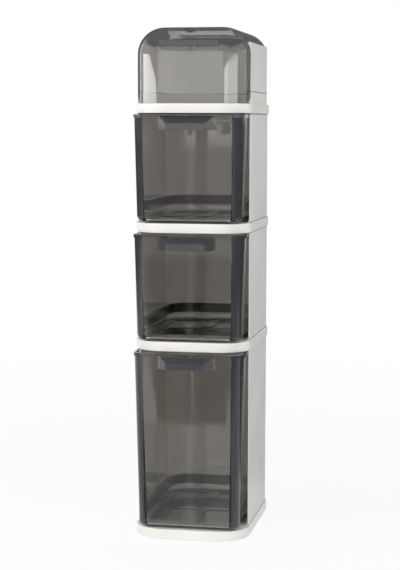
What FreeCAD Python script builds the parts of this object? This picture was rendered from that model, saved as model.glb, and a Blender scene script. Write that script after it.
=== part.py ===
import FreeCAD, Part
import math
import os

V = FreeCAD.Vector

# A slim tower of three smoke-tinted drawers between white shelf plates, on hidden rollers,
# with a domed flip-up compartment on top. Millimetres, +Z up, the drawers open towards -Y.
# The origin is on the floor, under the middle of the closed tower.

# Footprint of the shelf plates
width = 200.0
depth = 296.0
corner = 55.0

# Heights from the floor up
ground_gap = 2.5
band_height = 16.5
tall_clear = 309.5
small_clear = 185.5

# Shelf plates
plate = 2.5
skirt = 2.0
band_round = 1.2
seat_rib = 1.5
seat_rib_height = 3.0
runner_width = 5.0
runner_height = 2.2
runner_margin = 30.0

# U-shaped tier walls
wall = 2.0
wall_gap = 0.3
wall_setback = 54.0

# Drawers
drawer_wall = 2.0
drawer_floor = 3.2
drawer_side_gap = 0.6
drawer_back_gap = 2.5
drawer_top_gap = 1.8
drawer_front_corner = 21.0
corner_post = 14.0
side_draft = 1.1
front_draft = 3.0
rim_proud = 14.0
lip = 1.5
lip_height = 6.0
drawer_bottom_round = 11.0
panel_sink = 1.2
panel_margin = 16.0
panel_rib = 20.0
panel_corner = 8.0
ledge_lift = 14.0
ledge_height = 17.0
ledge_depth = 8.0

# Finger pulls on the drawer fronts, open underneath
pull_width = 104.0
pull_face_width = 68.0
pull_height = 26.0
pull_slope = 13.0
pull_reach = 14.0
pull_wall = 2.2
pull_sink = 1.9

# Rollers and axles
roller_radius = 7.0
roller_width = 12.0
roller_edge = 1.2
roller_side = 34.0
roller_end = 40.0
axle_radius = 1.5
axle_play = 0.05
ear = 2.5
ear_play = 0.5
ear_radius = 4.5

# Top compartment
tray_inset = 4.0
tray_wall = 2.2
tray_height = 20.0
hood_height = 83.5
hood_setback = 56.0
hood_flange = 9.0
hood_face = 7.0
lid_inset = 2.5
lid_wall = 2.0
lid_rise = 128.5
lid_round = 46.0
lid_gap = 0.4
lid_pull_width = 102.0
lid_pull_height = 9.0
lid_pull_drop = 24.0

# Lid hinge
hinge_margin = 45.0
knuckle_radius = 3.5
knuckle_width = 10.0
knuckle_gap = 0.4
knuckle_lift = 0.7
hinge_ear = 3.0
hinge_ear_front = 3.0
hinge_ear_drop = 12.0
hinge_arm = 5.0

# Places worked out from the sizes above
front_reach = rim_proud - lip + pull_reach
foot_y = front_reach / 2
foot_front = foot_y - depth / 2
foot_rear = foot_y + depth / 2
base_top = ground_gap + band_height
shelf_lower_top = base_top + tall_clear + band_height
shelf_upper_top = shelf_lower_top + small_clear + band_height
deck_top = shelf_upper_top + small_clear + band_height
runner_offset = width / 2 - runner_margin
roller_x = width / 2 - roller_side
roller_y = depth / 2 - roller_end
wall_out = skirt + wall_gap
wall_in = wall_out + wall
wall_front = foot_front + wall_setback
drawer_half = width / 2 - wall_in - drawer_side_gap
drawer_rear = foot_rear - wall_in - drawer_back_gap
drawer_rear_corner = corner - wall_in - drawer_side_gap
hood_bottom = deck_top + tray_height
hood_top = hood_bottom + hood_height
hood_front = foot_front + hood_setback
lid_top = deck_top + lid_rise
hinge_x = width / 2 - hinge_margin
hinge_y = foot_rear - tray_inset
hinge_z = hood_top + knuckle_radius + knuckle_lift
reach_over = 2.0 * (width + depth)
overcut = 1.0


def outline(half, y_front, y_rear, r_front, r_rear, z, cut_front=False):
    """Closed wire of a rectangle with round corners at height z, the front ones cut straight if asked."""
    turn = math.sqrt(0.5)
    corners = [
        (half - r_rear, y_rear - r_rear, r_rear, 1, 1),
        (-half + r_rear, y_rear - r_rear, r_rear, -1, 1),
        (-half + r_front, y_front + r_front, r_front, -1, -1),
        (half - r_front, y_front + r_front, r_front, 1, -1),
    ]
    arcs = []
    for cx, cy, r, sx, sy in corners:
        on_side = V(cx + sx * r, cy, z)
        on_end = V(cx, cy + sy * r, z)
        middle = V(cx + sx * r * turn, cy + sy * r * turn, z)
        first, last = (on_side, on_end) if sx * sy > 0 else (on_end, on_side)
        arcs.append((first, middle, last, cut_front and sy < 0))
    edges = []
    for i, (first, middle, last, straight) in enumerate(arcs):
        if straight:
            edges.append(Part.LineSegment(first, last).toShape())
        else:
            edges.append(Part.Arc(first, middle, last).toShape())
        following = arcs[(i + 1) % len(arcs)][0]
        edges.append(Part.LineSegment(last, following).toShape())
    return Part.Wire(edges)


def footprint(inset, z):
    """Outline of the tower drawn in by inset."""
    half = width / 2 - inset
    return outline(half, foot_front + inset, foot_rear - inset, corner - inset, corner - inset, z)


def prism(wire, height):
    return Part.Face(wire).extrude(V(0, 0, height))


def box(x0, x1, y0, y1, z0, z1):
    return Part.makeBox(x1 - x0, y1 - y0, z1 - z0, V(x0, y0, z0))


def rod(radius, x0, x1, y, z):
    return Part.makeCylinder(radius, x1 - x0, V(x0, y, z), V(1, 0, 0))


def behind(y, z0, z1):
    """Everything behind the plane at y, between two heights."""
    return box(-reach_over, reach_over, y, reach_over, z0, z1)


def ring(outer, inner, z, height):
    """Upright wall that follows the footprint between two insets."""
    return prism(footprint(outer, z), height).cut(prism(footprint(inner, z), height))


def edges_at(shape, z):
    flat = []
    for e in shape.Edges:
        if all(abs(v.Point.z - z) < 1e-4 for v in e.Vertexes):
            flat.append(e)
    return flat


def export(shape, name):
    solid = shape.removeSplitter()
    solid = solid.Solids[0] if len(solid.Solids) == 1 else solid
    solid.exportStep("parts/%s.step" % name)
    return solid


def band(top):
    """Shelf plate with a skirt all round, open underneath."""
    bottom = top - band_height
    block = prism(footprint(0, bottom), band_height)
    block = block.makeFillet(band_round, edges_at(block, top) + edges_at(block, bottom))
    hollow = prism(footprint(skirt, bottom), band_height - plate)
    return block.cut(hollow)


def seat(top):
    """Low rib that a tier wall fits around, and the two ribs a drawer runs on."""
    rib_out = wall_in + wall_gap
    rib = ring(rib_out, rib_out + seat_rib, top, seat_rib_height)
    rib = rib.common(behind(wall_front, top, top + seat_rib_height))
    runners = []
    for side in (-1, 1):
        x = side * runner_offset
        x0, x1 = x - runner_width / 2, x + runner_width / 2
        runners.append(box(x0, x1, wall_front, foot_rear - corner, top, top + runner_height))
    return rib.fuse(runners)


def shelf(top):
    return band(top).fuse(seat(top))


def roller_places():
    places = []
    for end, sy in (("front", -1), ("rear", 1)):
        for side, sx in (("left", -1), ("right", 1)):
            places.append(("%s_%s" % (end, side), sx * roller_x, foot_y + sy * roller_y))
    return places


def roller_ears(x, y):
    """Two ears under the base that hold one axle."""
    ears = []
    top = base_top - plate
    for side in (-1, 1):
        near = x + side * (roller_width / 2 + ear_play)
        far = near + side * ear
        x0, x1 = min(near, far), max(near, far)
        plate_part = box(x0, x1, y - ear_radius, y + ear_radius, roller_radius, top)
        nose = rod(ear_radius, x0, x1, y, roller_radius)
        ears.append(plate_part.fuse(nose).cut(rod(axle_radius, x0, x1, y, roller_radius)))
    return ears


def base():
    shape = shelf(base_top)
    for name, x, y in roller_places():
        shape = shape.fuse(roller_ears(x, y))
    return shape


def axle(x, y):
    half = roller_width / 2 + ear_play + ear
    return rod(axle_radius, x - half, x + half, y, roller_radius)


def roller(x, y):
    """Small wheel with rounded tread edges and a bore that runs on the axle."""
    half = roller_width / 2
    rim = roller_radius - roller_edge
    turn = roller_edge * math.sqrt(0.5)
    bore = axle_radius + axle_play
    points = [V(-half, bore, 0), V(-half, rim, 0), V(-half + roller_edge, roller_radius, 0)]
    points += [V(half - roller_edge, roller_radius, 0), V(half, rim, 0), V(half, bore, 0)]
    left_mid = V(-half + roller_edge - turn, rim + turn, 0)
    right_mid = V(half - roller_edge + turn, rim + turn, 0)
    edges = [
        Part.LineSegment(points[0], points[1]).toShape(),
        Part.Arc(points[1], left_mid, points[2]).toShape(),
        Part.LineSegment(points[2], points[3]).toShape(),
        Part.Arc(points[3], right_mid, points[4]).toShape(),
        Part.LineSegment(points[4], points[5]).toShape(),
        Part.LineSegment(points[5], points[0]).toShape(),
    ]
    wheel = Part.Face(Part.Wire(edges)).revolve(V(0, 0, 0), V(1, 0, 0), 360)
    wheel.translate(V(x, y, roller_radius))
    return wheel


def tier_wall(bottom, clear):
    """Left side, back and right side of one tier, moulded as one piece."""
    height = clear + band_height - plate
    wrap = ring(wall_out, wall_in, bottom, height)
    return wrap.common(behind(wall_front, bottom, bottom + height))


def drawer_wire(top, z, inset, inner=False):
    """Outline of a drawer at height z: every side leans in towards the bottom."""
    drop = top - z
    lean = drop * math.tan(math.radians(side_draft)) + lip + inset
    front = foot_front - rim_proud + lip + drop * math.tan(math.radians(front_draft)) + inset
    rear = drawer_rear - lean
    r_front, r_rear = drawer_front_corner - lean, drawer_rear_corner - lean
    if inner:
        r_front = corner_post
    return outline(drawer_half - lean, front, rear, r_front, r_rear, z, inner)


def drawer_pull(top):
    """Hood-shaped finger pull on the front, with a sloping top and sloping ends, open underneath."""
    body_front = foot_front - rim_proud + lip

    def block(inset, drop, y_back):
        low = top - pull_height - drop
        high = top - inset
        face_high = top - pull_slope - inset
        y_face = body_front - pull_reach + inset
        half = pull_width / 2 - inset
        face_half = pull_face_width / 2 - inset / 2
        back = [V(-half, y_back, low), V(half, y_back, low)]
        back += [V(half, y_back, high), V(-half, y_back, high)]
        face = [V(-face_half, y_face, low), V(face_half, y_face, low)]
        face += [V(face_half, y_face, face_high), V(-face_half, y_face, face_high)]
        wires = [Part.makePolygon(back + back[:1]), Part.makePolygon(face + face[:1])]
        return Part.makeLoft(wires, True, True)

    root = body_front + pull_sink
    return block(0, 0, root).cut(block(pull_wall, pull_wall, root))


def floor_panels(top, z):
    """Four shallow sunk panels that leave a cross-shaped rib in the drawer floor."""
    drop = top - z
    lean = drop * math.tan(math.radians(side_draft)) + lip + drawer_wall
    half = drawer_half - lean - panel_margin
    front = foot_front - rim_proud + lip + drop * math.tan(math.radians(front_draft))
    y0 = front + drawer_wall + panel_margin
    y1 = drawer_rear - lean - panel_margin
    middle = (y0 + y1) / 2
    panels = []
    for low, high in ((y0, middle - panel_rib / 2), (middle + panel_rib / 2, y1)):
        for side in (-1, 1):
            panel_half = (half - panel_rib / 2) / 2
            wire = outline(panel_half, low, high, panel_corner, panel_corner, z - panel_sink)
            wire.translate(V(side * (half + panel_rib / 2) / 2, 0, 0))
            panels.append(prism(wire, panel_sink))
    return panels


def drawer_ledge(top, floor_top):
    """Thick rib low down inside the back and sides of a drawer."""
    z = floor_top + ledge_lift
    rib = prism(drawer_wire(top, z, drawer_wall / 2), ledge_height)
    rib = rib.cut(prism(drawer_wire(top, z, drawer_wall + ledge_depth, True), ledge_height))
    return rib.common(behind(wall_front, z, z + ledge_height))


def drawer(bottom, clear):
    """Tapered bin with solid front corners, a lip round the rim, an inner ledge and a finger pull."""
    low = bottom + runner_height
    top = bottom + clear - drawer_top_gap
    floor_top = low + drawer_floor
    over = top + overcut
    outside = Part.makeLoft([drawer_wire(top, low, 0), drawer_wire(top, top, 0)], True, True)
    outside = outside.makeFillet(drawer_bottom_round, edges_at(outside, low))
    hollow = [drawer_wire(top, z, drawer_wall, True) for z in (floor_top, over)]
    inside = Part.makeLoft(hollow, True, True)
    inside = inside.makeFillet(drawer_bottom_round - drawer_wall, edges_at(inside, floor_top))
    rim = prism(drawer_wire(top, top, -lip), -lip_height)
    shape = outside.fuse([rim, drawer_pull(top)]).cut(inside)
    return shape.cut(floor_panels(top, floor_top)).fuse(drawer_ledge(top, floor_top))


def top_deck():
    """Plate that closes the tower, with a low wall round the back of the compartment."""
    upstand = ring(tray_inset, tray_inset + tray_wall, deck_top, tray_height)
    upstand = upstand.common(behind(hood_front, deck_top, hood_bottom))
    return band(deck_top).fuse(upstand)


def hinge_sides():
    return [side * hinge_x for side in (-1, 1)]


def hinge_ears(x):
    """Two ears behind the hood that hold one hinge pin."""
    ears = []
    for side in (-1, 1):
        near = x + side * (knuckle_width / 2 + knuckle_gap)
        far = near + side * hinge_ear
        x0, x1 = min(near, far), max(near, far)
        y0, y1 = hinge_y - hinge_ear_front, hinge_y + knuckle_radius
        post = box(x0, x1, y0, y1, hood_top - hinge_ear_drop, hinge_z)
        ears.append(post.fuse(rod(knuckle_radius, x0, x1, hinge_y, hinge_z)))
    return ears


def pin(x):
    half = knuckle_width / 2 + knuckle_gap + hinge_ear
    return rod(axle_radius, x - half, x + half, hinge_y, hinge_z)


def ear_room(x):
    """Room that the lid leaves free around the two ears and the ends of one hinge pin."""
    rooms = []
    for side in (-1, 1):
        near = x + side * knuckle_width / 2
        far = near + side * (hinge_ear + 2 * knuckle_gap)
        y0 = hinge_y - hinge_ear_front - lid_gap
        z1 = hinge_z + knuckle_radius + lid_gap
        rooms.append(box(min(near, far), max(near, far), y0, y0 + reach_over, hood_top, z1))
    return rooms


def hood():
    """White rear half of the compartment with inward flanges that the lid closes against."""
    outer, inner = tray_inset, tray_inset + tray_wall
    wrap = ring(outer, inner, hood_bottom, hood_height)
    flange = ring(outer, outer + hood_flange, hood_top - tray_wall, tray_wall)
    face = ring(outer, outer + hood_face, hood_bottom, hood_height)
    face = face.cut(behind(hood_front + tray_wall, hood_bottom, hood_top))
    face = face.common(behind(hood_front, hood_bottom, hood_top))
    shape = wrap.fuse(flange).common(behind(hood_front, hood_bottom, hood_top)).fuse(face)
    for x in hinge_sides():
        shape = shape.fuse(hinge_ears(x))
    for x in hinge_sides():
        shape = shape.cut(pin(x))
    return shape


def dome(inset):
    """Solid round-topped block of the lid, drawn in by inset."""
    block = prism(footprint(lid_inset + inset, deck_top + lid_gap), lid_rise - lid_gap - inset)
    return block.makeFillet(lid_round - inset, edges_at(block, lid_top - inset))


def lid():
    """Clear dome over the front and top, with a thumb ledge and two hinge knuckles."""
    outside, inside = dome(0), dome(lid_wall)
    under = behind(hood_front - lid_gap, deck_top, hood_top + lid_gap)
    shell = outside.cut(inside).cut(under)
    ledge_top = lid_top - lid_pull_drop
    ledge_front = foot_front + lid_inset
    ledge = box(-lid_pull_width / 2, lid_pull_width / 2, ledge_front, ledge_front + lid_round,
                ledge_top - lid_pull_height, ledge_top)
    shell = shell.fuse(ledge.cut(inside))
    for x in hinge_sides():
        x0, x1 = x - knuckle_width / 2, x + knuckle_width / 2
        z0, z1 = hinge_z - hinge_arm / 2, hinge_z + hinge_arm / 2
        arm = box(x0, x1, hinge_y - lid_round / 2, hinge_y, z0, z1)
        knuckle = rod(knuckle_radius, x0, x1, hinge_y, hinge_z)
        shell = shell.cut(ear_room(x)).fuse([arm.cut(inside), knuckle])
        shell = shell.cut(rod(axle_radius + axle_play, x0, x1, hinge_y, hinge_z))
    return shell


def main():
    os.makedirs("parts", exist_ok=True)
    tiers = [
        ("lower", "tall", base_top, tall_clear),
        ("middle", "middle", shelf_lower_top, small_clear),
        ("upper", "upper", shelf_upper_top, small_clear),
    ]
    shapes = [("base", base()), ("top_deck", top_deck()), ("hood", hood()), ("lid", lid())]
    shapes += [("shelf_lower", shelf(shelf_lower_top)), ("shelf_upper", shelf(shelf_upper_top))]
    for tier_name, drawer_name, bottom, clear in tiers:
        shapes.append(("tier_" + tier_name, tier_wall(bottom, clear)))
        shapes.append(("drawer_" + drawer_name, drawer(bottom, clear)))
    for name, x, y in roller_places():
        shapes.append(("roller_" + name, roller(x, y)))
        shapes.append(("axle_" + name, axle(x, y)))
    for name, x in zip(("left", "right"), hinge_sides()):
        shapes.append(("hinge_pin_" + name, pin(x)))
    for name, shape in shapes:
        solid = export(shape, name)
        print(name, len(solid.Solids), solid.isValid(), round(solid.Volume), solid.BoundBox)


main()
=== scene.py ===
import math
import bmesh
import bpy
from mathutils import Euler, Matrix, Vector


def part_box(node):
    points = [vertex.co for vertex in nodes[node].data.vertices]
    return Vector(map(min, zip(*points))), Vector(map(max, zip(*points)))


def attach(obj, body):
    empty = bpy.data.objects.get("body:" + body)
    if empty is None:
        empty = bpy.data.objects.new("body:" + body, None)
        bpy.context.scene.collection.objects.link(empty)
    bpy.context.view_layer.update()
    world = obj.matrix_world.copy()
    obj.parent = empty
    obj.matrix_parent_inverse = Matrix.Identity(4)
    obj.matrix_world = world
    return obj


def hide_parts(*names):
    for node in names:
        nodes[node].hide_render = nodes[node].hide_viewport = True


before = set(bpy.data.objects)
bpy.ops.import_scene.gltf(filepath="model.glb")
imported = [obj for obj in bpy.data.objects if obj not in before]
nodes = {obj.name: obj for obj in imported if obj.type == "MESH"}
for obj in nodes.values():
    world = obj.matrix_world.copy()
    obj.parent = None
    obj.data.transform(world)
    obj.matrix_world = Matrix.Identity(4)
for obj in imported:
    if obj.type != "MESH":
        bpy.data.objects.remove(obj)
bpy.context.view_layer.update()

scene = bpy.context.scene
scene.view_settings.view_transform = "Standard"
mm = 0.001


# Shared helpers

def hexToLinear(code):
    # the sRGB curve, from a colour code to the linear values that shaders take
    parts = [int(code[i:i + 2], 16) / 255 for i in (1, 3, 5)]
    linear = [c / 12.92 if c <= 0.04045 else ((c + 0.055) / 1.055) ** 2.4 for c in parts]
    return (*linear, 1.0)


def addNode(tree, kind, settings=None, sockets=None, links=None):
    # settings are the node's own fields, sockets are fixed values, links are (input, node, output)
    node = tree.nodes.new(kind)
    for key, value in (settings or {}).items():
        setattr(node, key, value)
    for key, value in (sockets or {}).items():
        node.inputs[key].default_value = value
    for key, source, output in links or []:
        tree.links.new(source.outputs[output], node.inputs[key])
    return node


def newMaterial(name):
    mat = bpy.data.materials.new(name)
    mat.use_nodes = True
    mat.node_tree.nodes.clear()
    return mat, mat.node_tree


def addNoise(tree, source, output, sizeMm, detail):
    # Object coordinates are metres, so the scale is one over the size of a feature in metres
    sockets = {"Scale": 1.0 / (sizeMm * mm), "Detail": detail}
    return addNode(tree, "ShaderNodeTexNoise", None, sockets, [("Vector", source, output)])


def addTint(tree, noise, lowColour, highColour, lowAt=0.0, highAt=1.0):
    tint = addNode(tree, "ShaderNodeValToRGB", None, None, [("Fac", noise, "Fac")])
    stops = tint.color_ramp.elements
    stops[0].position = lowAt
    stops[0].color = hexToLinear(lowColour)
    stops[1].position = highAt
    stops[1].color = hexToLinear(highColour)
    return tint


def addRoughness(tree, noise, look, noiseLow=0.0, noiseHigh=1.0):
    sockets = {
        "From Min": noiseLow, "From Max": noiseHigh,
        "To Min": look["roughLow"], "To Max": look["roughHigh"],
    }
    return addNode(tree, "ShaderNodeMapRange", None, sockets, [("Value", noise, "Fac")])


def addBump(tree, noise, strength, depthMm):
    sockets = {"Strength": strength, "Distance": depthMm * mm}
    return addNode(tree, "ShaderNodeBump", None, sockets, [("Height", noise, "Fac")])


def addSurface(tree, sockets, links):
    shader = addNode(tree, "ShaderNodeBsdfPrincipled", None, sockets, links)
    return addNode(tree, "ShaderNodeOutputMaterial", None, None, [("Surface", shader, "BSDF")])


# White shell: injection-moulded polypropylene.
# Satin skin from an etched mould: soft broad highlights, a fine grain, faint flow clouds, a warm white.
plateLook = {
    "name": "mouldedPolypropyleneWhite", "colour": "#f4f2ee", "cloudColour": "#eeebe5", "ior": 1.49,
    "cloudMm": 70.0, "cloudDetail": 3.0, "cloudLow": 0.30, "cloudHigh": 0.72,
    "grainMm": 1.1, "grainDetail": 2.0, "grainBump": 0.05, "grainDepthMm": 0.2,
    "roughLow": 0.36, "roughHigh": 0.50, "roughNoiseLow": 0.3, "roughNoiseHigh": 0.7,
    "milky": 0.35, "milkyRadius": (1.0, 0.98, 0.95), "milkyMm": 1.5,
}
# The thin walls and the hood let more light through, so they are milkier than the plates.
wallLook = plateLook | {
    "name": "mouldedPolypropyleneMilky", "colour": "#efece8", "cloudColour": "#e9e6e1", "cloudMm": 90.0,
    "roughLow": 0.40, "roughHigh": 0.54, "milky": 1.0, "milkyMm": 4.0,
}


def makeShellPlastic(look):
    mat, tree = newMaterial(look["name"])
    coords = addNode(tree, "ShaderNodeTexCoord")
    clouds = addNoise(tree, coords, "Object", look["cloudMm"], look["cloudDetail"])
    tint = addTint(tree, clouds, look["cloudColour"], look["colour"], look["cloudLow"], look["cloudHigh"])
    rough = addRoughness(tree, clouds, look, look["roughNoiseLow"], look["roughNoiseHigh"])
    grain = addNoise(tree, coords, "Object", look["grainMm"], look["grainDetail"])
    bump = addBump(tree, grain, look["grainBump"], look["grainDepthMm"])
    sockets = {
        "IOR": look["ior"], "Subsurface Weight": look["milky"],
        "Subsurface Radius": look["milkyRadius"], "Subsurface Scale": look["milkyMm"] * mm,
    }
    links = [("Base Color", tint, "Color"), ("Roughness", rough, "Result"), ("Normal", bump, "Normal")]
    addSurface(tree, sockets, links)
    return mat


# Drawers and lid: smoke-tinted polystyrene from a polished mould.
# The tint is in the body of the plastic, so thick edges and slanting views go darker.
drawerLook = {
    "name": "tintedPolystyreneSmoke", "skin": "#fbfaf8", "absorb": "#5e5a58", "density": 42.0, "ior": 1.57,
    "scuffMm": 6.0, "scuffDetail": 4.0, "scuffStretch": (1.0, 1.0, 0.25),
    "roughLow": 0.02, "roughHigh": 0.07, "roughNoiseLow": 0.35, "roughNoiseHigh": 0.75,
    "waveMm": 55.0, "waveDetail": 1.0, "waveBump": 0.05, "waveDepthMm": 1.0,
}
lidLook = drawerLook | {
    "name": "tintedPolystyreneLight", "skin": "#fcfbf9", "absorb": "#686868", "density": 112.0,
    "roughHigh": 0.06, "waveMm": 60.0,
}


def makeTintedPlastic(look):
    mat, tree = newMaterial(look["name"])
    coords = addNode(tree, "ShaderNodeTexCoord")
    sockets = {"Scale": look["scuffStretch"]}
    stretch = addNode(tree, "ShaderNodeMapping", None, sockets, [("Vector", coords, "Object")])
    scuffs = addNoise(tree, stretch, "Vector", look["scuffMm"], look["scuffDetail"])
    rough = addRoughness(tree, scuffs, look, look["roughNoiseLow"], look["roughNoiseHigh"])
    waves = addNoise(tree, coords, "Object", look["waveMm"], look["waveDetail"])
    bump = addBump(tree, waves, look["waveBump"], look["waveDepthMm"])
    sockets = {"Base Color": hexToLinear(look["skin"]), "IOR": look["ior"], "Transmission Weight": 1.0}
    output = addSurface(tree, sockets, [("Roughness", rough, "Result"), ("Normal", bump, "Normal")])
    sockets = {"Color": hexToLinear(look["absorb"]), "Density": look["density"]}
    body = addNode(tree, "ShaderNodeVolumeAbsorption", None, sockets)
    tree.links.new(body.outputs["Volume"], output.inputs["Volume"])
    return mat


# Thick sections of the same smoke plastic, made opaque and near black: partly the plastic's own dark, since
# hardly any light gets through, and partly painted shade in place of what would show through them.
thickShadedLook = {
    "name": "tintedPolystyreneThickShaded", "colour": "#403f44", "deepColour": "#323134", "ior": 1.57,
    "cloudMm": 40.0, "cloudDetail": 2.0, "roughLow": 0.10, "roughHigh": 0.22,
}
# A darker copy for the drawers' inner ledges and the lid's brow bar: the dark of thick smoke plastic, made
# darker as painted shade.
shadePaintedLook = thickShadedLook | {"name": "tintedPolystyrenePaintedShade", "colour": "#343338", "deepColour": "#262528"}
# The pulls are hollow and open below. This paler copy is painted light, standing in for the light that they
# catch.
pullPaintedLightLook = thickShadedLook | {"name": "tintedPolystyrenePullPaintedLight", "colour": "#8c8d94", "deepColour": "#7a7b82"}


def makeOpaqueSmokePlastic(look):
    mat, tree = newMaterial(look["name"])
    coords = addNode(tree, "ShaderNodeTexCoord")
    clouds = addNoise(tree, coords, "Object", look["cloudMm"], look["cloudDetail"])
    tint = addTint(tree, clouds, look["deepColour"], look["colour"])
    rough = addRoughness(tree, clouds, look)
    links = [("Base Color", tint, "Color"), ("Roughness", rough, "Result")]
    addSurface(tree, {"IOR": look["ior"]}, links)
    return mat


# Painted shade where two mouldings meet: a dark band on the flush wall face, standing in for the deep narrow
# slit that light doesn't reach the bottom of.
jointShadowLook = {
    "name": "paintedJointShadow", "colour": "#5a5652", "deepColour": "#3b3835",
    "cloudMm": 12.0, "cloudDetail": 2.0, "rough": 0.8,
}


def makeJointShade(look):
    mat, tree = newMaterial(look["name"])
    coords = addNode(tree, "ShaderNodeTexCoord")
    clouds = addNoise(tree, coords, "Object", look["cloudMm"], look["cloudDetail"])
    tint = addTint(tree, clouds, look["deepColour"], look["colour"])
    addSurface(tree, {"Roughness": look["rough"]}, [("Base Color", tint, "Color")])
    return mat


# Rollers: moulded nylon, matt and dark, with a fine grain that holds a little dust.
rollerLook = {
    "name": "mouldedNylonDark", "colour": "#3a3a3d", "dustColour": "#4d4b49", "ior": 1.53,
    "grainMm": 0.8, "grainDetail": 3.0, "grainBump": 0.12, "grainDepthMm": 0.2,
    "roughLow": 0.42, "roughHigh": 0.62,
}


def makeRollerNylon(look):
    mat, tree = newMaterial(look["name"])
    coords = addNode(tree, "ShaderNodeTexCoord")
    grain = addNoise(tree, coords, "Object", look["grainMm"], look["grainDetail"])
    tint = addTint(tree, grain, look["colour"], look["dustColour"])
    rough = addRoughness(tree, grain, look)
    bump = addBump(tree, grain, look["grainBump"], look["grainDepthMm"])
    links = [("Base Color", tint, "Color"), ("Roughness", rough, "Result"), ("Normal", bump, "Normal")]
    addSurface(tree, {"IOR": look["ior"]}, links)
    return mat


# Axles and hinge pins: drawn steel wire, with the fine lines of the die along its length.
pinLook = {
    "name": "drawnSteelWire", "colour": "#b9babd",
    "lineMm": 0.35, "lineDetail": 2.0, "lineStretch": (0.04, 1.0, 1.0), "lineBump": 0.08, "lineDepthMm": 0.05,
    "roughLow": 0.22, "roughHigh": 0.38,
}


def makeDrawnSteel(look):
    mat, tree = newMaterial(look["name"])
    coords = addNode(tree, "ShaderNodeTexCoord")
    sockets = {"Scale": look["lineStretch"]}
    along = addNode(tree, "ShaderNodeMapping", None, sockets, [("Vector", coords, "Object")])
    lines = addNoise(tree, along, "Vector", look["lineMm"], look["lineDetail"])
    rough = addRoughness(tree, lines, look)
    bump = addBump(tree, lines, look["lineBump"], look["lineDepthMm"])
    sockets = {"Base Color": hexToLinear(look["colour"]), "Metallic": 1.0}
    addSurface(tree, sockets, [("Roughness", rough, "Result"), ("Normal", bump, "Normal")])
    return mat


platePlastic = makeShellPlastic(plateLook)
wallPlastic = makeShellPlastic(wallLook)
smokePlastic = makeTintedPlastic(drawerLook)
lidPlastic = makeTintedPlastic(lidLook)
thickShadedPlastic = makeOpaqueSmokePlastic(thickShadedLook)
shadePaintedPlastic = makeOpaqueSmokePlastic(shadePaintedLook)
pullPaintedLightPlastic = makeOpaqueSmokePlastic(pullPaintedLightLook)
jointShade = makeJointShade(jointShadowLook)
rollerNylon = makeRollerNylon(rollerLook)
drawnSteel = makeDrawnSteel(pinLook)
print("materials made")


# Finishes of the CAD nodes, by the start of a node's name. The plates take what is left.
finishByStart = {
    "tier_": wallPlastic, "hood": wallPlastic, "drawer_": smokePlastic, "lid": lidPlastic,
    "roller_": rollerNylon, "axle_": drawnSteel, "hinge_pin_": drawnSteel,
}

for name, node in nodes.items():
    finishes = [finish for start, finish in finishByStart.items() if name.startswith(start)]
    node.data.materials.clear()
    node.data.materials.append(finishes[0] if finishes else platePlastic)
print("finishes assigned to", len(nodes), "nodes")


# Copies of CAD solids: the same shape and smooth shading, with faces that can take another finish.
# The solid's normals ride along in a layer, so that cuts and merged points leave the shading alone.
copySettings = {"mergeMm": 0.01, "normalLayer": "cadNormal"}


def openCopy(nodeName):
    cadMesh = nodes[nodeName].data
    cadNormals = [corner.vector.copy() for corner in cadMesh.corner_normals]
    bm = bmesh.new()
    bm.from_mesh(cadMesh)
    kept = bm.loops.layers.float_vector.new(copySettings["normalLayer"])
    corners = [corner for face in bm.faces for corner in face.loops]
    for corner, normal in zip(corners, cadNormals):
        corner[kept] = normal
    for face in bm.faces:
        face.smooth = True
    return bm


def cutAlong(bm, point, normal):
    everything = bm.verts[:] + bm.edges[:] + bm.faces[:]
    bmesh.ops.bisect_plane(bm, geom=everything, plane_co=point, plane_no=normal)
    bm.normal_update()


def closeCopy(bm, nodeName, pieceName, bodyName, finishes):
    bmesh.ops.remove_doubles(bm, verts=bm.verts, dist=copySettings["mergeMm"] * mm)
    mesh = bpy.data.meshes.new(pieceName)
    bm.to_mesh(mesh)
    bm.free()
    kept = mesh.attributes[copySettings["normalLayer"]]
    mesh.normals_split_custom_set([item.vector.copy() for item in kept.data])
    mesh.attributes.remove(mesh.attributes[copySettings["normalLayer"]])
    for finish in finishes:
        mesh.materials.append(finish)
    piece = bpy.data.objects.new(pieceName, mesh)
    scene.collection.objects.link(piece)
    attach(piece, bodyName)
    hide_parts(nodeName)
    dressed = sum(face.material_index > 0 for face in mesh.polygons)
    print(pieceName, len(mesh.polygons), "faces,", dressed, "in another finish")


# Drawers: the corner posts and the inner ledge are painted opaque and dark, partly the dark of thick smoke
# plastic and partly painted shade, and the open pulls paler, as painted light.
# A facing limit is the least part of a face's normal that has to point sideways or into the pull.
drawerCopy = {
    "postDepthMm": 56.0, "postFacing": 0.15,
    "pullHalfMm": 60.0, "pullReachMm": 12.0, "pullFacing": 0.2,
    "ledgeLowMm": 17.2, "ledgeHighMm": 34.2, "slackMm": 0.3,
    "slot": "smoke_plastic",
    "pieces": {
        "drawer_tall": ("tallDrawer", "tall_drawer"),
        "drawer_middle": ("middleDrawer", "middle_drawer"),
        "drawer_upper": ("upperDrawer", "upper_drawer"),
    },
}


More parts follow.
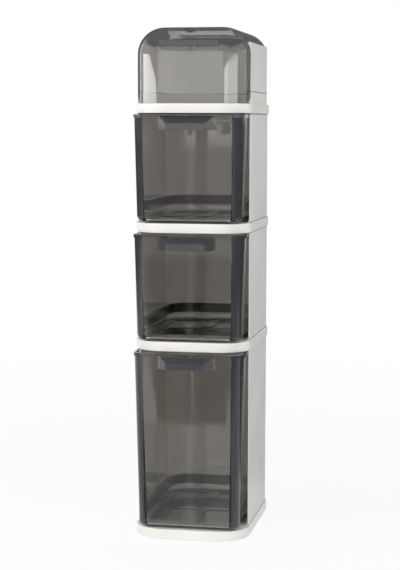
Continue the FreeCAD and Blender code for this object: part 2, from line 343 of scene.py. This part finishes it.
def makeDrawer(nodeName, look):
    pieceName, bodyName = look["pieces"][nodeName]
    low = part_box(nodeName)[0]
    postEnd = low.y + look["postDepthMm"] * mm
    pullEnd = low.y + look["pullReachMm"] * mm
    pullHalf = look["pullHalfMm"] * mm
    ledgeLow = low.z + (look["ledgeLowMm"] - look["slackMm"]) * mm
    ledgeHigh = low.z + (look["ledgeHighMm"] + look["slackMm"]) * mm
    finishes = [smokePlastic, thickShadedPlastic, shadePaintedPlastic, pullPaintedLightPlastic]
    bm = openCopy(nodeName)
    cutAlong(bm, (0, postEnd, 0), (0, 1, 0))
    for face in bm.faces:
        middle = face.calc_center_median()
        inwards = -face.normal.x if middle.x > 0 else face.normal.x
        atPost = middle.y < postEnd and abs(middle.x) > pullHalf
        atPull = middle.y < pullEnd and abs(middle.x) < pullHalf
        # Corner posts: the opaque dark finish, partly painted shade.
        if atPost and abs(face.normal.x) > look["postFacing"]:
            finish = thickShadedPlastic
        # Inner ledge: the darker copy, painted shade.
        elif all(ledgeLow < v.co.z < ledgeHigh for v in face.verts):
            finish = shadePaintedPlastic
        # Open pulls: the paler copy, painted light.
        elif atPull and max(face.normal.y, inwards) > look["pullFacing"]:
            finish = pullPaintedLightPlastic
        else:
            finish = smokePlastic
        face.material_index = finishes.index(finish)
    closeCopy(bm, nodeName, pieceName, bodyName, finishes)


for nodeName in drawerCopy["pieces"]:
    makeDrawer(nodeName, drawerCopy)


# Lid: the solid thumb ledge on the dome's brow is painted as a dark bar, the dark of thick smoke plastic made
# darker as painted shade.
lidCopy = {
    "piece": "domeLid", "body": "lid", "slot": "clear_smoke_plastic",
    "ledgeHalfMm": 51.0, "ledgeDropMm": 24.0, "ledgeHeightMm": 9.0, "ledgeReachMm": 9.0, "slackMm": 0.3,
}


def makeLid(look):
    low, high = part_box("lid")
    slack = look["slackMm"] * mm
    half = look["ledgeHalfMm"] * mm + slack
    ledgeHigh = high.z - look["ledgeDropMm"] * mm
    ledgeLow = ledgeHigh - look["ledgeHeightMm"] * mm
    ledgeRear = low.y + look["ledgeReachMm"] * mm
    finishes = [lidPlastic, shadePaintedPlastic]
    bm = openCopy("lid")
    for face in bm.faces:
        places = [v.co for v in face.verts]
        atBrow = all(abs(p.x) < half and p.y < ledgeRear for p in places)
        atHeight = all(ledgeLow - slack < p.z < ledgeHigh + slack for p in places)
        face.material_index = finishes.index(shadePaintedPlastic if atBrow and atHeight else lidPlastic)
    closeCopy(bm, "lid", look["piece"], look["body"], finishes)


makeLid(lidCopy)


# Walls and hood: a painted shadow line under each plate's skirt, and a finer one where a wall or the hood
# stands.
# Each tier's wall is listed with its piece and the plate that its top goes into.
wallCopy = {
    "underSkirtMm": 1.3, "onPlateMm": 0.8, "hoodShadowMm": 1.0, "hiddenMm": 3.0,
    "body": "tower", "slot": "white_plastic",
    "pieces": {
        "tier_lower": ("lowerWall", "shelf_lower"),
        "tier_middle": ("middleWall", "shelf_upper"),
        "tier_upper": ("upperWall", "top_deck"),
    },
    "hoodPiece": "hoodShell", "finishes": [wallPlastic, jointShade],
}


# Paints the faces between two heights in the joint shade: a painted shadow on a face that stays flush.
def paintJointShadow(bm, zLow, zHigh, look):
    cutAlong(bm, (0, 0, zLow), (0, 0, 1))
    cutAlong(bm, (0, 0, zHigh), (0, 0, 1))
    for face in bm.faces:
        if zLow < face.calc_center_median().z < zHigh:
            face.material_index = look["finishes"].index(jointShade)


def makeWall(nodeName, look):
    pieceName, plateAbove = look["pieces"][nodeName]
    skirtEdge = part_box(plateAbove)[0].z
    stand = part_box(nodeName)[0].z
    hidden = look["hiddenMm"] * mm
    bm = openCopy(nodeName)
    paintJointShadow(bm, skirtEdge - look["underSkirtMm"] * mm, skirtEdge + hidden, look)
    paintJointShadow(bm, stand - hidden, stand + look["onPlateMm"] * mm, look)
    closeCopy(bm, nodeName, pieceName, look["body"], look["finishes"])


def makeHood(look):
    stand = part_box("hood")[0].z
    bm = openCopy("hood")
    paintJointShadow(bm, stand - look["hiddenMm"] * mm, stand + look["hoodShadowMm"] * mm, look)
    closeCopy(bm, "hood", look["hoodPiece"], look["body"], look["finishes"])


for nodeName in wallCopy["pieces"]:
    makeWall(nodeName, wallCopy)
makeHood(wallCopy)


# Studio paper: a white floor and a white world for the camera, for reflections and for what shines through.
# The floor glows a little less near the object, so that it keeps the object's shadow.
paperLook = {
    "name": "paperSweepWhite", "colour": "#f4f4f4", "glowColour": "#ffffff", "halfM": 6.0,
    "glowNear": 0.90, "glowFar": 1.0, "glowNearM": 0.4, "glowFarM": 2.2,
}
worldLook = {"colour": "#ffffff", "ambient": 0.45, "seenLevel": 1.0}


def addSeenRays(tree):
    rays = addNode(tree, "ShaderNodeLightPath")
    larger = {"operation": "MAXIMUM"}
    links = [(0, rays, "Is Glossy Ray"), (1, rays, "Is Transmission Ray")]
    mirrored = addNode(tree, "ShaderNodeMath", larger, None, links)
    links = [(0, rays, "Is Camera Ray"), (1, mirrored, "Value")]
    return addNode(tree, "ShaderNodeMath", larger, None, links)


def makeSweepPaper(look):
    mat, tree = newMaterial(look["name"])
    paper = addNode(tree, "ShaderNodeBsdfDiffuse", None, {"Color": hexToLinear(look["colour"])})
    glow = addNode(tree, "ShaderNodeEmission", None, {"Color": hexToLinear(look["glowColour"])})
    coords = addNode(tree, "ShaderNodeTexCoord")
    away = addNode(tree, "ShaderNodeVectorMath", {"operation": "LENGTH"}, None, [(0, coords, "Object")])
    sockets = {
        "From Min": look["glowNearM"], "From Max": look["glowFarM"],
        "To Min": look["glowNear"], "To Max": look["glowFar"],
    }
    level = addNode(tree, "ShaderNodeMapRange", None, sockets, [("Value", away, "Value")])
    links = [(0, addSeenRays(tree), "Value"), (1, level, "Result")]
    share = addNode(tree, "ShaderNodeMath", {"operation": "MULTIPLY"}, None, links)
    links = [("Fac", share, "Value"), (1, paper, "BSDF"), (2, glow, "Emission")]
    mix = addNode(tree, "ShaderNodeMixShader", None, None, links)
    addNode(tree, "ShaderNodeOutputMaterial", None, None, [("Surface", mix, "Shader")])
    return mat


def makeFloor(look):
    bm = bmesh.new()
    bmesh.ops.create_grid(bm, x_segments=1, y_segments=1, size=look["halfM"])
    mesh = bpy.data.meshes.new("studioFloor")
    bm.to_mesh(mesh)
    bm.free()
    mesh.materials.append(makeSweepPaper(look))
    floor = bpy.data.objects.new("studioFloor", mesh)
    scene.collection.objects.link(floor)


def makeWorld(look):
    world = bpy.data.worlds.new("studioWorld")
    scene.world = world
    world.use_nodes = True
    tree = world.node_tree
    tree.nodes.clear()
    sockets = {"To Min": look["ambient"], "To Max": look["seenLevel"]}
    level = addNode(tree, "ShaderNodeMapRange", None, sockets, [("Value", addSeenRays(tree), "Value")])
    sockets = {"Color": hexToLinear(look["colour"])}
    sky = addNode(tree, "ShaderNodeBackground", None, sockets, [("Strength", level, "Result")])
    addNode(tree, "ShaderNodeOutputWorld", None, None, [("Surface", sky, "Background")])


# Studio flags: glowing panels, each in one even tone, which only reflections and what shines through the
# plastic see: painted reflections that light nothing.
# Places are metres from the object. The cards hide the upper part of the side lamps from reflections.
room = {
    "wide": 5.0, "side": 2.4, "backHalf": 4.0, "beside": 0.14, "rearGap": 0.3,
    "front": -5.0, "far": -2.7, "near": -0.80, "close": -0.22, "behind": 0.30, "back": 2.6, "rear": 6.0,
    "ground": 0.0, "lift": 0.002, "flagTop": 0.70, "gapLow": 0.80, "cardTop": 1.45, "gapHigh": 2.0,
    "roof": 4.0,
}
flagGlowTone = {
    "dark": "#38383a", "roof": "#44464c", "back": "#6c6e76",
    "grey": "#b4b4b6", "pale": "#c4c4c6", "card": "#f2f2f4",
}


def band(xLow, xHigh, yLow, yHigh):
    return [(xLow, yLow), (xHigh, yLow), (xHigh, yHigh), (xLow, yHigh)]


# Lying flags: outline, height and tone. The slanting one leaves the tall drawer its pale left edge.
lyingGlowFlags = {
    "closeFloor": (band(-room["wide"], room["wide"], room["near"], room["close"]), room["lift"], "pale"),
    "nearFloor": (
        [(-0.69, room["far"]), (-0.35, room["far"]), (-0.05, room["near"]), (-0.20, room["near"])],
        room["lift"], "dark",
    ),
    "rightFloor": (band(0.0, room["wide"], room["far"], room["near"]), room["lift"], "dark"),
    "farFloor": (band(-room["wide"], room["wide"], room["front"], room["far"]), room["lift"], "grey"),
    "rearFloor": (band(room["beside"], room["side"], room["behind"], room["rear"]), room["lift"], "dark"),
    "ceiling": (band(-room["wide"], room["wide"], room["front"], room["back"]), room["roof"], "roof"),
}
# Standing flags: both ends, the height of the lower edge at each, the top and the tone.
frontWall = [(-room["wide"], room["front"]), (room["wide"], room["front"])]
leftWall = [(-room["side"], room["front"]), (-room["side"], room["rear"])]
rightWall = [(room["side"], room["front"]), (room["side"], room["rear"])]
rearWall = [(room["rearGap"], room["rear"]), (room["side"], room["rear"])]
backWall = [(-room["backHalf"], room["back"]), (room["backHalf"], room["back"])]
onGround = (room["ground"], room["ground"])
standingGlowFlags = {
    "frontLow": (frontWall, onGround, room["gapLow"], "grey"),
    "frontHigh": (frontWall, (room["gapHigh"], room["gapHigh"]), room["roof"], "dark"),
    "left": (leftWall, onGround, room["flagTop"], "dark"),
    "right": (rightWall, onGround, room["flagTop"], "dark"),
    "rearRight": (rearWall, onGround, room["flagTop"], "dark"),
    "keyTop": ([(-1.93, 0.30), (-1.06, -1.86)], (0.98, 0.81), room["cardTop"], "card"),
    "fillTop": ([(2.14, -0.47), (0.72, -1.94)], (0.92, 0.87), room["cardTop"], "card"),
    "back": (backWall, (room["gapLow"], room["gapLow"]), room["roof"], "back"),
}


def addFlag(name, corners, tone):
    bm = bmesh.new()
    bm.faces.new([bm.verts.new(c) for c in corners])
    mesh = bpy.data.meshes.new(name)
    bm.to_mesh(mesh)
    bm.free()
    flag = bpy.data.objects.new(name + "Flag", mesh)
    flag.visible_camera = False
    flag.visible_diffuse = False
    flag.visible_shadow = False
    scene.collection.objects.link(flag)
    mat, tree = newMaterial(name + "FlagGlow")
    # Each flag glows in its even tone: a painted reflection, not a lamp.
    even = addNode(tree, "ShaderNodeEmission", None, {"Color": hexToLinear(flagGlowTone[tone])})
    addNode(tree, "ShaderNodeOutputMaterial", None, None, [("Surface", even, "Emission")])
    mesh.materials.append(mat)


def makeFlags():
    for name, (outline, height, tone) in lyingGlowFlags.items():
        addFlag(name, [(x, y, height) for x, y in outline], tone)
    for name, ((start, end), lowEdge, top, tone) in standingGlowFlags.items():
        addFlag(name, [(*start, lowEdge[0]), (*end, lowEdge[1]), (*end, top), (*start, top)], tone)


# Lamps: a low softbox on each side, which the dome mirrors, and a large one in front.
# Places and sizes are metres.
lampLook = {
    "keyLeft": {
        "place": (-1.54, -0.80, 1.035), "aim": (0.06, -0.15, 0.98), "size": (2.02, 0.55), "watts": 17.0,
    },
    "fillRight": {
        "place": (1.484, -1.212, 1.04), "aim": (0.104, 0.108, 1.00), "size": (1.8, 0.55), "watts": 10.0,
    },
    "front": {
        "place": (0.15, -3.3, 1.92), "aim": (0.0, 0.0, 0.47), "size": (5.4, 2.5), "watts": 51.0,
    },
}


def makeLamp(name, look):
    data = bpy.data.lights.new(name, "AREA")
    data.shape = "RECTANGLE"
    data.size, data.size_y = look["size"]
    data.energy = look["watts"]
    lamp = bpy.data.objects.new(name, data)
    lamp.location = look["place"]
    direction = Vector(look["aim"]) - Vector(look["place"])
    lamp.rotation_euler = direction.to_track_quat("-Z", "Y").to_euler()
    scene.collection.objects.link(lamp)


makeFloor(paperLook)
makeFlags()
makeWorld(worldLook)
for name, look in lampLook.items():
    makeLamp(name, look)
print("studio set up")


# Camera: where the photograph was taken from, fitted to the curved front edges of the plates.
# A camera looks straight down until it is tipped up to the level.
photoView = {
    "place": (0.5240, -2.7337, 0.7169), "headingDeg": 10.95, "downTiltDeg": 5.887, "rollDeg": 0.133,
    "levelDeg": 90.0, "lensMm": 99.50, "filmMm": 36.0,
}


def makeCamera(view):
    data = bpy.data.cameras.new("photoCamera")
    data.sensor_fit = "VERTICAL"
    data.sensor_height = view["filmMm"]
    data.lens = view["lensMm"]
    tilt = math.radians(view["levelDeg"] - view["downTiltDeg"])
    aim = Euler((tilt, 0, math.radians(view["headingDeg"]))).to_matrix()
    turn = aim @ Matrix.Rotation(math.radians(view["rollDeg"]), 3, "Z")
    camera = bpy.data.objects.new("photoCamera", data)
    camera.rotation_euler = turn.to_euler()
    camera.location = view["place"]
    scene.collection.objects.link(camera)
    scene.camera = camera


makeCamera(photoView)
print("camera placed")
